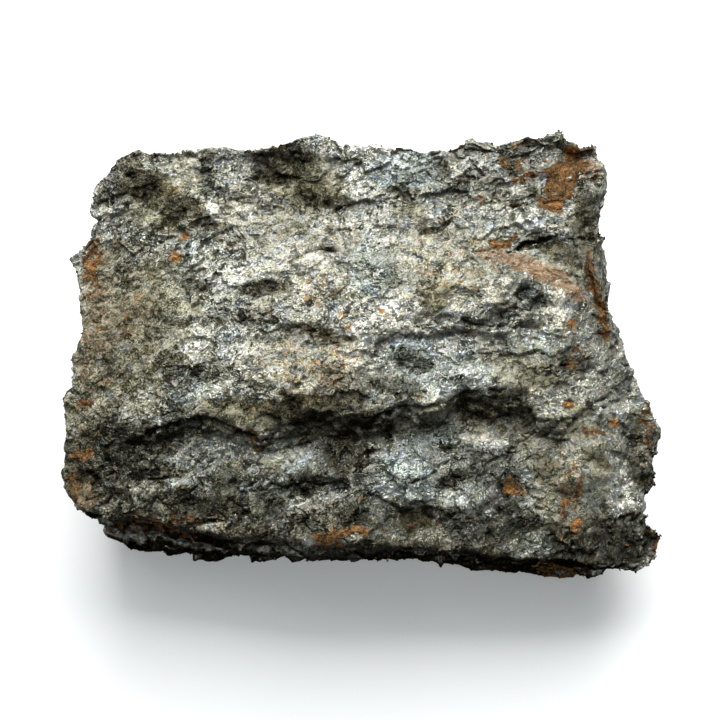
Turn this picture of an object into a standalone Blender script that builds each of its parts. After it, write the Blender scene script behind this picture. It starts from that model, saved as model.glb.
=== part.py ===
"""An arsenopyrite hand specimen: one broken block of massive, fine-grained ore.

The block lies on a small flat spot under its belly. Its upper face is the fresh break:
a bright plateau behind, a main ledge that runs from left to right, and a lower bench in
front of it. The four sides are rougher breaks that lean in towards the base.

Sizes below are millimetres, and the mesh is made in metres. +X is right, +Y is back, +Z is up.
"""

import bisect
import math

import bmesh
import bpy
from mathutils import Vector, noise

MM = 0.001

# The break's rim in plan. Each side runs between two of the block's four corners.
LEFT_RIM = [
    (-53, -34), (-55.5, -30.5), (-56, -25), (-55.5, -18), (-56.5, -11), (-57, -4),
    (-55, 1), (-56, 8), (-57.5, 13.5), (-60, 17.5), (-56.5, 20.5), (-54.5, 24),
    (-56.5, 28), (-55, 33), (-51, 37.5),
]
BACK_RIM = [
    (-51, 37.5), (-46, 39.5), (-38, 38.5), (-29, 39.4), (-20, 38.4), (-13, 39),
    (-8.5, 39.5), (-2, 37.6), (6, 37), (12, 37.8), (17, 37), (24, 38.8), (29, 37.8),
    (34, 39.2), (44, 40), (49, 39),
]
RIGHT_RIM = [
    (55, -41.5), (57, -37), (54, -31), (57.5, -26.5), (56.5, -23), (58.5, -16.5),
    (56, -11), (52, -4), (49.5, 2), (48, 9), (47.5, 16), (48, 22), (49, 30), (49, 39),
]
FRONT_RIM = [
    (-53, -34), (-46, -37), (-38, -37.5), (-30, -38.5), (-20, -40), (-10, -40.7),
    (0, -41), (16, -41.3), (24, -41.8), (32, -42.2), (42, -43), (48, -42.7), (55, -41.5),
]

# Heights of the break before its ledges are cut, in rows from front to back.
HEIGHT_COLUMNS = [-56, -40, -20, -9, 0, 20, 40, 54]
HEIGHT_ROWS = [
    (-42, [24, 31, 33, 33.5, 33.5, 32, 25, 17]),
    (-30, [27, 33, 35, 35.5, 35.5, 34, 29, 23]),
    (-20, [29, 33.5, 37, 38, 38, 36.5, 33, 26]),
    (-8, [31, 35, 39.5, 40, 39.5, 38.5, 36, 29]),
    (5, [33, 36.5, 40.5, 41, 41, 41.5, 40, 33]),
    (18, [33, 37, 41, 41, 41, 41.5, 41.5, 38]),
    (30, [36.5, 39, 40.5, 41, 41.5, 42.5, 43, 42.5]),
    (38, [38, 41.5, 43, 46.5, 45.5, 45, 46, 45]),
]

# A ledge: its brink in plan, the drop in front of it at each point, and the riser's width.
LEDGES = {
    "main ledge": (
        [(-50, -22, 0), (-39, -20.5, 3.5), (-32, -19, 4.5), (-27, -18.7, 4.5), (-19, -22.5, 4),
         (-14, -20.5, 5), (-8, -18.5, 5.5), (2, -19, 5.5), (8, -16.5, 6), (14, -16.5, 6),
         (19, -13.5, 6), (26, -14.5, 5), (32, -17, 3.5), (39, -18, 2), (47, -13, 1), (56, -7, 0)],
        2.6,
    ),
    "plateau step": (
        [(-30, 4, 0), (-24, 1, 0.8), (-17, -0.5, 1.3), (-10, -2.5, 1.6), (-2, -4, 1.6),
         (5, -3.5, 1.8), (10, -0.5, 2.2), (16, 1.5, 2.4), (20, 0, 2.2), (26, 2, 2.6),
         (31, 5.5, 2.6), (36, 4.5, 2.2), (41, 3, 1), (46, 3, 0)],
        1.6,
    ),
    "back step": (
        [(-30, 30, 0), (-24, 29.5, 1.2), (-17, 28, 1.8), (-10, 28.5, 1.6), (-3, 26.5, 1.4),
         (4, 27.5, 1.2), (10, 27, 1), (18, 28.5, 0.8), (28, 29, 0)],
        2.2,
    ),
    "bench step": (
        [(-44, -29, 0), (-36, -31, 1.4), (-28, -33, 1.8), (-20, -32.5, 1.6), (-12, -29, 1.6),
         (-5, -28, 1.8), (2, -30, 1.6), (8, -33, 1.6), (16, -34, 1.8), (26, -33.5, 1.2),
         (34, -35, 0)],
        1.8,
    ),
}

# A knoll stands up from the break and a pocket goes down: plan place, half sizes, turn, height.
KNOLLS = {
    "pocket under the shard": ((32, 16), (5.5, 1.6), 8, -2.6),
    "rusty hollow": ((39, 29), (4.5, 7), 0, -1.6),
    "brown hollow": ((-20, 33), (7, 3), 0, -1.6),
    "left dent": ((-17, 7.5), (4.5, 1.6), 12, -1.4),
    "lens dent": ((14.5, 20.5), (3.2, 1.3), 20, -1.2),
    "left groove": ((-33, 21), (7, 1.3), 18, -1.8),
    "bright slab": ((29, 7), (4.5, 2.6), 15, 1.2),
    "white boss": ((38.5, -1), (3.2, 4), 0, 1.5),
    "lower boss": ((10, -27), (6, 4.5), -10, 1.7),
    "left bench boss": ((-24, -27), (7, 3.5), 5, 1.4),
    "dark hollow": ((-2.5, -24.5), (4, 2.6), 20, -2.0),
    "front hollow": ((30, -31), (4, 3), 0, -1.6),
    "corner boss": ((43, -27), (6, 5), 0, 1.6),
    "corner hollow": ((-45, -29), (5, 3.5), 0, -1.4),
    "back left block": ((-45, 32), (5, 4), 0, 1.6),
}

KNOLL_EDGE = 1.35  # where a knoll's slope ends, in half sizes from its middle

# How far each side leans in (or, below zero, out) at the base, halfway up, and at the rim.
SIDE_LEAN = {
    "left": (3.6, 0.4, 0.0),
    "right": (3.2, -0.6, 0.0),
    "front": (3.0, 2.4, 0.0),
    "back": (4.2, -0.6, 0.0),
}
RIGHT_APRON = 3.2  # how far the back part of the right side juts out below the rim
APRON_SPAN = (-2.0, 24.0)
APRON_FADE = 6.0

UNDERSIDE_RISE = 5.0  # from the flat spot up to the lower edge of the sides
UNDERSIDE_DEPTH = 0.55  # how far the belly would hang below the flat spot
FLOOR_SIZE = (200.0, 200.0, 30.0)  # the block that cuts the belly off

BRINK_WANDER = 1.1  # how far a ledge's brink strays from its points
BRINK_WAVE = 3.5
LEDGE_REGAIN = 0.45  # the share of a ledge's drop that the ground in front of it regains
REGAIN_SPAN = 16.0

GRAIN_TURN = math.radians(12)  # the ore's grain runs this far off the X axis
TERRACE_PITCH = 5.5  # from one small step along the grain to the next
TERRACE_RISER = 0.25  # a step's riser, as a share of its pitch
TERRACE_HEIGHT = 0.7
TERRACE_WANDER = 2.4

# Broken blocks, each a flat with its own lean: their size, and their height as a share of it.
SIDE_CHIPS = [(15.0, 0.30), (6.5, 0.34)]
EDGE_CHIPS = [(15.0, 0.08), (5.0, 0.16)]
BREAK_CHIPS = [(9.0, 0.09), (4.2, 0.17)]
CHIP_STRETCH = Vector((0.72, 1.0, 1.25))  # the blocks are longer along the grain
CHIP_LIFT = 0.35  # how far a block stands proud as a whole, against its lean
CHIP_SEED = Vector((3.7, 8.1, 5.3))

CELL = 1.25  # spacing of the lattice that the surface is shaped on
BLOCK_SIZE = (112.0, 80.0, 44.0)
ON_FACE = 0.999  # a lattice point past this on an axis is on that axis's face
SMOOTHING = 0.3
TRIANGLE_SHARE = 0.2  # of the lattice's triangles that are kept


def along(values, stations, at):
    """Reads a value between stations, level beyond the first and the last."""
    if at <= stations[0]:
        return values[0]
    if at >= stations[-1]:
        return values[-1]
    after = bisect.bisect_right(stations, at)
    before = after - 1
    share = (at - stations[before]) / (stations[after] - stations[before])
    return values[before] + (values[after] - values[before]) * share


def eased(share):
    """A smooth rise from 0 to 1."""
    share = min(1.0, max(0.0, share))
    return share * share * (3 - 2 * share)


class Rim:
    """One side of the rim, read by the share of its length."""

    def __init__(self, points):
        self.x = [p[0] for p in points]
        self.y = [p[1] for p in points]
        self.stations = [0.0]
        for start, end in zip(points, points[1:]):
            self.stations.append(self.stations[-1] + math.dist(start, end))

    def at(self, share):
        length = share * self.stations[-1]
        return Vector((along(self.x, self.stations, length), along(self.y, self.stations, length)))


LEFT, BACK, RIGHT, FRONT = (Rim(side) for side in (LEFT_RIM, BACK_RIM, RIGHT_RIM, FRONT_RIM))


def plan_point(u, v):
    """The plan place of a share u from left to right and v from front to back (a Coons patch)."""
    sides = FRONT.at(u) * (1 - v) + BACK.at(u) * v + LEFT.at(v) * (1 - u) + RIGHT.at(v) * u
    front = FRONT.at(0) * (1 - u) + FRONT.at(1) * u
    back = BACK.at(0) * (1 - u) + BACK.at(1) * u
    return sides - front * (1 - v) - back * v


def base_height(x, y):
    """The break's height before its ledges, smoothly between the rows and columns."""
    rows = [row for row, _ in HEIGHT_ROWS]
    y = min(rows[-1], max(rows[0], y))
    after = min(len(rows) - 1, bisect.bisect_right(rows, y))
    before = after - 1
    low = along(HEIGHT_ROWS[before][1], HEIGHT_COLUMNS, x)
    high = along(HEIGHT_ROWS[after][1], HEIGHT_COLUMNS, x)
    return low + (high - low) * (y - rows[before]) / (rows[after] - rows[before])


def ledge_drop(x, y, brink, riser):
    """How far the break lies below a ledge's brink."""
    stations = [p[0] for p in brink]
    if not stations[0] < x < stations[-1]:
        return 0.0
    brink_y = along([p[1] for p in brink], stations, x)
    drop = along([p[2] for p in brink], stations, x)
    ahead = brink_y - y + BRINK_WANDER * noise.noise(Vector((x / BRINK_WAVE, brink_y / 9, drop)))
    regained = LEDGE_REGAIN * eased((ahead - riser) / REGAIN_SPAN)
    return drop * eased(ahead / riser) * (1 - regained)


def knoll_rise(x, y, place, half_sizes, turn, height):
    """A knoll's or a pocket's height at a plan place."""
    turn = math.radians(turn)
    dx, dy = x - place[0], y - place[1]
    across = (dx * math.cos(turn) + dy * math.sin(turn)) / half_sizes[0]
    up = (dy * math.cos(turn) - dx * math.sin(turn)) / half_sizes[1]
    return height * eased(KNOLL_EDGE - math.hypot(across, up))


def terrace(x, y):
    """Small steps that face the front, along the ore's grain."""
    across = y * math.cos(GRAIN_TURN) - x * math.sin(GRAIN_TURN)
    across += TERRACE_WANDER * noise.noise(Vector((x / 16, y / 11, 4.2)))
    tread = across / TERRACE_PITCH % 1.0
    strength = eased(0.5 + 1.2 * noise.noise(Vector((x / 13, y / 8, 9.1))))
    return TERRACE_HEIGHT * strength * (eased(tread / TERRACE_RISER) - tread)


def top_height(x, y):
    """The height of the upper break."""
    height = base_height(x, y) + terrace(x, y)
    height -= sum(ledge_drop(x, y, brink, riser) for brink, riser in LEDGES.values())
    return height + sum(knoll_rise(x, y, *shape) for shape in KNOLLS.values())


def belly(share_out):
    """How far the underside has risen: gently in the middle, and steeply next to a side."""
    return 0.6 * share_out**2 + 0.4 * share_out**8


def underside_height(a, b):
    """The height of the underside: a shallow belly whose tip is cut off at the flat spot."""
    return UNDERSIDE_RISE * (belly(a) + belly(b)) - UNDERSIDE_DEPTH


def nearness(share_out):
    """How near a point is to one side, from 0 in the middle to 1 on that side."""
    return max(0.0, share_out) ** 3


def lean(side, share_up):
    """How far a side lies inside the rim at a share of its height."""
    base, middle, rim = SIDE_LEAN[side]
    return along([base, middle, rim], [0.0, 0.5, 1.0], share_up)


def side_shift(a, b, y, share_up):
    """The plan shift that the four leaning sides give to a lattice point."""
    apron = RIGHT_APRON * math.sin(math.pi * share_up)
    apron *= eased((y - APRON_SPAN[0]) / APRON_FADE) * eased((APRON_SPAN[1] - y) / APRON_FADE)
    across = nearness(-a) * lean("left", share_up) - nearness(a) * (lean("right", share_up) - apron)
    deep = nearness(-b) * lean("front", share_up) - nearness(b) * lean("back", share_up)
    return Vector((across, deep))


def block_point(lattice):
    """Where a point of the plain lattice block lies on the specimen, before it is chipped."""
    a, b, c = lattice
    share_up = (c + 1) / 2
    plan = plan_point((a + 1) / 2, (b + 1) / 2)
    top = top_height(plan.x, plan.y)
    low = underside_height(a, b)
    plan = plan + side_shift(a, b, plan.y, share_up)
    return Vector((plan.x, plan.y, low + (top - low) * share_up))


def chip(point, chips):
    """How far the broken blocks stand proud at a point."""
    proud = 0.0
    for size, share in chips:
        place = point * CHIP_STRETCH / size + CHIP_SEED
        _, sites = noise.voronoi(place)
        chance = noise.cell_vector(sites[0] * 9.7) - Vector((0.5, 0.5, 0.5))
        proud += size * share * ((place - sites[0]).dot(chance) + CHIP_LIFT * chance.x)
    return proud


def lattice_block():
    """A box from -1 to 1 on each axis, cut into an even lattice."""
    shape = bmesh.new()
    bmesh.ops.create_cube(shape, size=2)
    for axis, size in enumerate(BLOCK_SIZE):
        lines = [e for e in shape.edges if abs((e.verts[0].co - e.verts[1].co)[axis]) > 1]
        bmesh.ops.subdivide_edges(shape, edges=lines, cuts=round(size / CELL) - 1)
    return shape


def chips_at(lattice):
    """The broken blocks at a point of the lattice: gentler on the break and along the edges."""
    faces = [axis for axis in range(3) if abs(lattice[axis]) > ON_FACE]
    if len(faces) > 1:
        return EDGE_CHIPS
    return BREAK_CHIPS if lattice.z > ON_FACE else SIDE_CHIPS


def broken_block():
    """The specimen's shape in millimetres, with the plan places of the lists above."""
    shape = lattice_block()
    chips = [chips_at(v.co) for v in shape.verts]
    for vertex in shape.verts:
        vertex.co = block_point(vertex.co)
    shape.normal_update()
    moves = [(v, v.normal * chip(v.co, at)) for v, at in zip(shape.verts, chips)]
    for vertex, move in moves:
        vertex.co += move
    bmesh.ops.smooth_vert(
        shape,
        verts=shape.verts,
        factor=SMOOTHING,
        use_axis_x=True,
        use_axis_y=True,
        use_axis_z=True,
    )
    return shape


def middle(shape):
    """The plan place over the middle of the shape's box."""
    across = [v.co.x for v in shape.verts]
    deep = [v.co.y for v in shape.verts]
    return Vector(((min(across) + max(across)) / 2, (min(deep) + max(deep)) / 2, 0))


def lump_mesh():
    """The specimen's mesh in metres, centred over the origin with its flat spot at height 0."""
    shape = broken_block()
    centre = middle(shape)
    for vertex in shape.verts:
        vertex.co = (vertex.co - centre) * MM
    bmesh.ops.triangulate(shape, faces=shape.faces)
    mesh = bpy.data.meshes.new("arsenopyrite_lump")
    shape.to_mesh(mesh)
    shape.free()
    return mesh


def ore_material():
    """Fine-grained arsenopyrite: dull silver with a dark, warm cast."""
    material = bpy.data.materials.new("arsenopyrite")
    material.use_nodes = True
    surface = material.node_tree.nodes["Principled BSDF"]
    surface.inputs["Base Color"].default_value = (0.25, 0.245, 0.22, 1)
    surface.inputs["Metallic"].default_value = 0.7
    surface.inputs["Roughness"].default_value = 0.5
    return material


def floor_cutter():
    """What the specimen stands on, as a hidden block that cuts the belly off at the flat spot."""
    bpy.ops.mesh.primitive_cube_add(size=1)
    cutter = bpy.context.object
    cutter.name = "floor_cutter"
    cutter.scale = Vector(FLOOR_SIZE) * MM
    cutter.location.z = -FLOOR_SIZE[2] / 2 * MM
    cutter.hide_render = True
    cutter.display_type = "WIRE"
    return cutter


def lump():
    """The whole specimen: its broken surface in flat facets, cut level where it rests."""
    solid = bpy.data.objects.new("arsenopyrite_lump", lump_mesh())
    bpy.context.collection.objects.link(solid)
    solid.data.materials.append(ore_material())
    facets = solid.modifiers.new("broken facets", "DECIMATE")
    facets.ratio = TRIANGLE_SHARE
    flat_spot = solid.modifiers.new("flat spot", "BOOLEAN")
    flat_spot.operation = "DIFFERENCE"
    flat_spot.solver = "EXACT"
    flat_spot.object = floor_cutter()
    return solid


def main():
    for old in list(bpy.data.objects):
        bpy.data.objects.remove(old)
    lump()


main()
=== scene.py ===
# %% [markdown]
# An arsenopyrite hand specimen
#
# Arsenopyrite is an iron, arsenic and sulphur mineral. This specimen is a broken block of
# its massive ore: grains of about half a millimetre, grown into each other, silver where
# they are fresh and olive, brown or rusty where the weather has been at them.
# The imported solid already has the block's shape. This script gives it the fine skin, the
# grain and the colours, and sets it on a pale floor under soft light.

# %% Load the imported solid
import math

import bmesh
import bpy
import numpy as np
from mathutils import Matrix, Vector, noise
from mathutils.bvhtree import BVHTree


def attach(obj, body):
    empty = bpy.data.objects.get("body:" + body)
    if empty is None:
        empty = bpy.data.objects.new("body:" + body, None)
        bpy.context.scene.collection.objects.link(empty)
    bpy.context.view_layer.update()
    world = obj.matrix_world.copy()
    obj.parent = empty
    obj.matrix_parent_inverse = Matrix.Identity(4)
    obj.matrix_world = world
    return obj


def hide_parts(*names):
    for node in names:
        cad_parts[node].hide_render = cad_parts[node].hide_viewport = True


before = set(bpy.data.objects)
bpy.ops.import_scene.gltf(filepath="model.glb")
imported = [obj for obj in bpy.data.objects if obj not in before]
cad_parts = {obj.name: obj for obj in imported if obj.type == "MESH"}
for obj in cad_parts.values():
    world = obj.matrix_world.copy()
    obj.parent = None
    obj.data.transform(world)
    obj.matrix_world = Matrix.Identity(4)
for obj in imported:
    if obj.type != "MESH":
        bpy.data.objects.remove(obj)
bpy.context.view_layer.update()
MM = 0.001
scene = bpy.context.scene
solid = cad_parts["arsenopyrite_lump"]

# %% [markdown]
# The camera
#
# A camera's place could be found by eye, but the marks on the stone are easier to place if
# the camera is settled first: a spot of the photograph is then a straight ray to the stone.
# The photograph looks steeply down on the break from about twenty centimetres, which is why
# the near edge looks wider than the far one.

# %% Camera
CAMERA_AIM = Vector((-0.15, 0.68, 22.0)) * MM
CAMERA_DISTANCE = 205 * MM
CAMERA_RISE = math.radians(62)
LENS = 50.0
SENSOR = 36.0
PHOTO_SIDE = 720

forward = Vector((0, math.cos(CAMERA_RISE), -math.sin(CAMERA_RISE)))
camera = bpy.data.objects.new("camera", bpy.data.cameras.new("camera"))
scene.collection.objects.link(camera)
camera.data.lens = LENS
camera.data.sensor_width = SENSOR
camera.data.clip_start = 0.01
camera.location = CAMERA_AIM - forward * CAMERA_DISTANCE
camera.rotation_mode = "QUATERNION"
camera.rotation_quaternion = forward.to_track_quat("-Z", "Y")
scene.camera = camera
print("camera at", [round(x / MM) for x in camera.location], "mm")

# %% [markdown]
# From a spot of the photograph to a point of the stone
#
# Marks could be placed by typing coordinates and looking again and again. Here each mark
# has its pixel in the photograph, and a ray from the camera through that pixel finds the
# point of the solid where the mark lies.

# %% Rays to the stone
solid_tree = BVHTree.FromObject(solid, bpy.context.evaluated_depsgraph_get())
right = Vector((1, 0, 0))
up = right.cross(forward)
PIXELS_AHEAD = LENS / SENSOR * PHOTO_SIDE


def on_stone(pixel):
    """The point of the solid, in millimetres, that the photograph shows at a pixel."""
    across = pixel[0] - PHOTO_SIDE / 2
    down = pixel[1] - PHOTO_SIDE / 2
    ray = (forward * PIXELS_AHEAD + right * across - up * down).normalized()
    point, _, _, _ = solid_tree.ray_cast(camera.location, ray)
    assert point is not None, f"no stone at pixel {pixel}"
    return point / MM


print("the middle of the photograph is at", [round(x, 1) for x in on_stone((360, 360))], "mm")

# %% [markdown]
# The skin
#
# The solid has flat facets some two millimetres wide. A subdivision surface would round
# them, but its faces would follow the facets and stretch on the ledges. A voxel remesh
# makes an even net instead, fine enough to carry relief of half a millimetre, and a little
# smoothing takes the facets' edges off before the real relief goes on.

# %% A fine, even net over the solid
NET = 0.36 * MM


def settle(thing):
    """Gives a thing the mesh that its modifiers make, and takes them away."""
    graph = bpy.context.evaluated_depsgraph_get()
    mesh = bpy.data.meshes.new_from_object(thing.evaluated_get(graph))
    thing.modifiers.clear()
    thing.data = mesh
    return mesh


skin = bpy.data.objects.new("ore_skin", solid.data.copy())
scene.collection.objects.link(skin)
shape = bmesh.new()
shape.from_mesh(skin.data)
bmesh.ops.remove_doubles(shape, verts=shape.verts, dist=1e-6)
shape.to_mesh(skin.data)
shape.free()
remesh = skin.modifiers.new("even net", "REMESH")
remesh.mode = "VOXEL"
remesh.voxel_size = NET
soften = skin.modifiers.new("soften", "SMOOTH")
soften.factor = 0.5
soften.iterations = 9
mesh = settle(skin)
print("net:", len(mesh.vertices), "points")

# %% [markdown]
# Helpers for relief
#
# Relief and colour are worked out for all the points at once. The points are turned so that
# the first axis runs along the ore's grain, which rises to the right in the photograph:
# layers, steps and streaks follow it.

# %% Points, noise and soft steps
GRAIN_TURN = math.radians(12)


def vectors_of(mesh, name):
    """Three numbers for each point of the mesh."""
    flat = np.empty(len(mesh.vertices) * 3, np.float32)
    mesh.vertices.foreach_get(name, flat)
    return flat.reshape(-1, 3).astype(float)


def points_of(mesh):
    """The mesh's points in millimetres."""
    return vectors_of(mesh, "co") / MM


def move_points(mesh, points):
    """Gives the mesh's points new places, in millimetres."""
    mesh.vertices.foreach_set("co", (points * MM).astype(np.float32).ravel())
    mesh.update()


def keep(mesh, name, values):
    """Keeps a value for each point of a mesh, for its material to read."""
    layer = mesh.attributes.new(name, "FLOAT", "POINT")
    layer.data.foreach_set("value", np.asarray(values, np.float32))


def values_of(mesh, name):
    """The values that keep() stored."""
    values = np.empty(len(mesh.vertices), np.float32)
    mesh.attributes[name].data.foreach_get("value", values)
    return values


def along_grain(points):
    """The points in axes along the grain, across it, and up."""
    c, s = math.cos(GRAIN_TURN), math.sin(GRAIN_TURN)
    x, y, z = points.T
    return np.stack([x * c + y * s, y * c - x * s, z], 1)


def noise_at(points, size, seed):
    """Soft noise from about -1 to 1. size is its wavelength on each axis."""
    places = points / np.array(size) + seed
    return np.array([noise.noise(Vector(p)) for p in places.tolist()])


def eased(share):
    """A smooth rise from 0 to 1."""
    share = np.clip(share, 0, 1)
    return share * share * (3 - 2 * share)


# %% [markdown]
# Broken flats
#
# Ore breaks through its grains, and each piece that comes away leaves a small flat with its
# own lean. Cells of a Voronoi pattern do the same: inside a cell the height is a tilted
# plane, and where two cells meet there is a step or a sharp fold.


# %% Flats from Voronoi cells
# A cell's middle times a key falls in a cell of noise of its own, which gives it its chance.
LEAN_KEY = 9.7
SLIT_KEY = 7.3
CELL_STEP = 0.3
SLIT_SLOPE = 3.2
SLIT_THINNESS = 2.6


def cells_at(points, size, stretch, seed):
    """For each point the middle of its Voronoi cell, and the way to the point from there."""
    for p in (points / (size * np.array(stretch)) + seed).tolist():
        place = Vector(p)
        site = noise.voronoi(place)[1][0]
        yield site, place - site


def flats(points, size, stretch, seed):
    """Heights of tilted flats, as a share of their size."""
    heights = []
    for site, gap in cells_at(points, size, stretch, seed):
        lean = noise.cell_vector(site * LEAN_KEY) - Vector((0.5, 0.5, 0.5))
        heights.append(gap.dot(lean) + CELL_STEP * lean.z)
    return np.array(heights) * size


def slits(points, size, stretch, share, seed):
    """Lens-shaped slits, from 0 to 1, in a share of the cells."""
    depths = []
    for site, gap in cells_at(points, size, stretch, seed):
        if noise.cell(site * SLIT_KEY) < share:
            depths.append(1 - SLIT_SLOPE * math.hypot(gap.x, SLIT_THINNESS * gap.y, gap.z))
        else:
            depths.append(0.0)
    return eased(1.6 * np.array(depths))


SNAP = 0.65


def mosaic(points, size):
    """Each point moved most of the way to the middle of its crystal, for angular edges."""
    moved = []
    for p in (points / size).tolist():
        place = Vector(p)
        moved.append(place.lerp(noise.voronoi(place)[1][0], SNAP))
    return np.array(moved) * size


LAYER_WAVE = 1.1
LAYER_WAVE_SIZE = (5, 3, 5)
LAYER_DIP = 0.6
BROKEN_SIZE = (9, 5, 8)
RISER = 0.3


def small_steps(turned, pitch, seed):
    """Thin layers that break off as steps which face the front."""
    across = turned[:, 1] + LAYER_WAVE * pitch * noise_at(turned, LAYER_WAVE_SIZE, seed)
    across += LAYER_DIP * turned[:, 2]
    tread = across / pitch % 1.0
    strength = eased(0.1 + 1.8 * noise_at(turned, BROKEN_SIZE, seed + 3))
    return strength * (eased(tread / RISER) - tread)


# %% [markdown]
# Forms that the photograph shows one by one
#
# Most of the relief has no places of its own, but an eye that compares the stone with its
# photograph looks for a few hollows, cracks and bosses. Each is listed by what it is, with
# its pixel, its half length and half width, its height and its turn. Hollows and bosses have
# soft edges, and plates, which are crystals or slabs that broke off whole, have steep ones.

# %% Hollows, bosses and plates
# Each: pixel, (half length, half width) in mm, height in mm, and a turn in degrees if it has one.
FORMS = {
    "hollow under the plateau's edge": ((266, 290), (5, 1.5), -0.6, 8),
    "first shade of the step": ((308, 328), (2.6, 0.9), -0.5, -12),
    "second shade of the step": ((336, 338), (2.8, 0.9), -0.6, -10),
    "lens": ((437, 227), (2.6, 0.6), -0.4, 20),
    "foot of the slab, left": ((432, 328), (5.5, 1.7), 1.2, 12),
    "foot of the slab, middle": ((482, 328), (6, 1.9), 1.4, -6),
    "foot of the pocket": ((528, 313), (4.8, 2.4), 1.7, -10),
    "foot of the step": ((264, 334), (5.5, 1.4), 0.6),
    "dark boss": ((350, 455), (3.2, 3), 0.8, 20),
    "streaked boss": ((285, 470), (5.5, 2.6), 0.8, 12),
    "hollow by the corner": ((115, 505), (4, 1.6), -0.6, -25),
    "brown hollow": ((280, 168), (6, 3), -0.3, -6),
    "corner knob": ((128, 163), (2, 2), 0.7),
    "left groove": ((163, 224), (3.2, 0.8), -0.5, 24),
    "groove beside it": ((212, 226), (2.6, 0.6), -0.4, -24),
    "dark notch": ((405, 192), (2.8, 0.8), -0.4, -14),
    "round dark grain": ((327, 231), (0.9, 0.9), 0.35),
    "slash": ((328, 249), (1.6, 0.4), -0.5, -6),
    "front hollow": ((415, 517), (3.2, 1.9), -0.8),
    "rusty pit": ((510, 487), (1.5, 1.5), -0.6),
    "ringed boss": ((568, 483), (2.2, 1.5), 0.6, 10),
    "right edge": ((600, 238), (4.6, 7), -1.9),
    "right edge, lower": ((603, 284), (4, 5), -1.6),
    "corner by the notch": ((637, 503), (2.4, 3), 0.9),
    "lower right corner": ((656, 535), (2.6, 5), -1.6),
    "back edge, left": ((165, 158), (9, 1.8), -0.9),
    "back edge, right": ((540, 147), (18, 3.6), -1.8),
    "back corner, right": ((558, 137), (7, 3.4), -1.8),
    "back edge, middle": ((482, 142), (4, 2.4), -1),
    "front foot, left": ((166, 539), (11, 5), 2.2),
    "front foot, middle": ((222, 547), (8, 5), 1.3),
    "front foot, notch": ((303, 548), (3.6, 5), 1.7),
    "front foot, right": ((350, 553), (8, 5), 1.7),
    "corner of the foot": ((84, 514), (4, 5), -0.9),
    "blunt spur": ((442, 561), (2.4, 5), -2),
}
PLATES = {
    "plate over the slot": ((533, 226), (5, 1.6), 0.6, -6),
    "shard": ((541, 241), (3.6, 0.4), 0.8, 16),
    "bright slab": ((501, 292), (3.8, 2.6), 0.5, 12),
    "white boss": ((554, 318), (2.8, 4.8), 0.6),
    "blue slab": ((408, 464), (5, 4.6), 0.5, -15),
    "slab below it": ((418, 494), (3.6, 1.8), 0.4),
    "plate on the left": ((116, 190), (3.4, 1.5), 0.8, -28),
    "cream patch": ((181, 176), (3.6, 4.4), 0.4),
    "left bench plate": ((142, 491), (3.8, 2), 0.6, -6),
    "olive plate": ((437, 297), (3.2, 2.6), 0.35, 10),
    "silver plate": ((194, 345), (2.8, 4), 0.35),
    "pale lens": ((442, 396), (4, 1.8), 0.4, 20),
    "bright chip": ((474, 372), (2.6, 2), 0.35),
    "pale foot": ((540, 544), (3, 2), 0.4),
}
PLATE_EDGE = 0.35
print("forms:", len(FORMS), "plates:", len(PLATES))

# %% Cracks and undercuts
# Each: pixels along the line, its half width and its depth in mm.
LINES = {
    "crack over the blue slab": ([(404, 446), (412, 452), (424, 460), (441, 464)], 0.26, 0.55),
    "crack in the blue slab": ([(403, 484), (414, 484), (426, 478), (436, 470)], 0.22, 0.5),
    "long crack": ([(509, 450), (541, 436), (576, 421), (594, 408), (609, 395)], 0.22, 0.4),
    "crack in the plateau": ([(290, 262), (308, 252), (330, 247)], 0.26, 0.4),
    "crack in the boss": ([(546, 300), (552, 314), (549, 330)], 0.22, 0.4),
    "crack under the boss": ([(538, 331), (551, 334), (560, 331)], 0.3, 0.6),
    "crack in the left part": ([(100, 505), (118, 492), (150, 480), (176, 476)], 0.3, 0.5),
    "left of the ledge": ([(150, 434), (190, 424), (216, 422), (241, 432), (257, 441)], 0.55, 0.9),
    "middle of the ledge": ([(304, 424), (350, 427), (372, 422), (403, 410), (435, 407)], 0.45, 0.6),
    "right of the ledge": ([(435, 407), (454, 396), (468, 393), (496, 401)], 0.4, 0.4),
    "slab's edge": ([(477, 313), (490, 303), (503, 304), (520, 295)], 0.25, 0.3),
    "second line": ([(461, 318), (477, 326), (503, 325), (523, 327), (536, 329)], 0.26, 0.45),
    "slot under the shard": ([(508, 252), (520, 249), (533, 246), (548, 241)], 0.4, 0.9),
    "bench": ([(262, 489), (286, 483), (310, 487), (330, 484)], 0.3, 0.4),
    "by the corner": ([(88, 470), (104, 486), (128, 500)], 0.45, 0.6),
}
print("lines:", len(LINES))
# How far a form and a line reach up and down, in mm, and a distance beyond all of them.
FORM_HALF_HEIGHT = 6.0
LINE_HALF_HEIGHT = 5.0
FAR = 1e9


def oval_reach(points, pixel, half_sizes, turn, half_height):
    """How far each point is from an oval's middle. It is 1 at the rim."""
    turn = math.radians(turn)
    x, y, z = (points - np.array(on_stone(pixel))).T
    along = (x * math.cos(turn) + y * math.sin(turn)) / half_sizes[0]
    across = (y * math.cos(turn) - x * math.sin(turn)) / half_sizes[1]
    return np.sqrt(along**2 + across**2 + (z / half_height) ** 2)


def form_height(points, pixel, half_sizes, height, turn=0, softness=1.0):
    """One form's height at every point. A soft one is at half its height near the rim."""
    reach = oval_reach(points, pixel, half_sizes, turn, FORM_HALF_HEIGHT)
    return height * eased(0.5 + (0.9 - reach) / softness)


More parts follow.
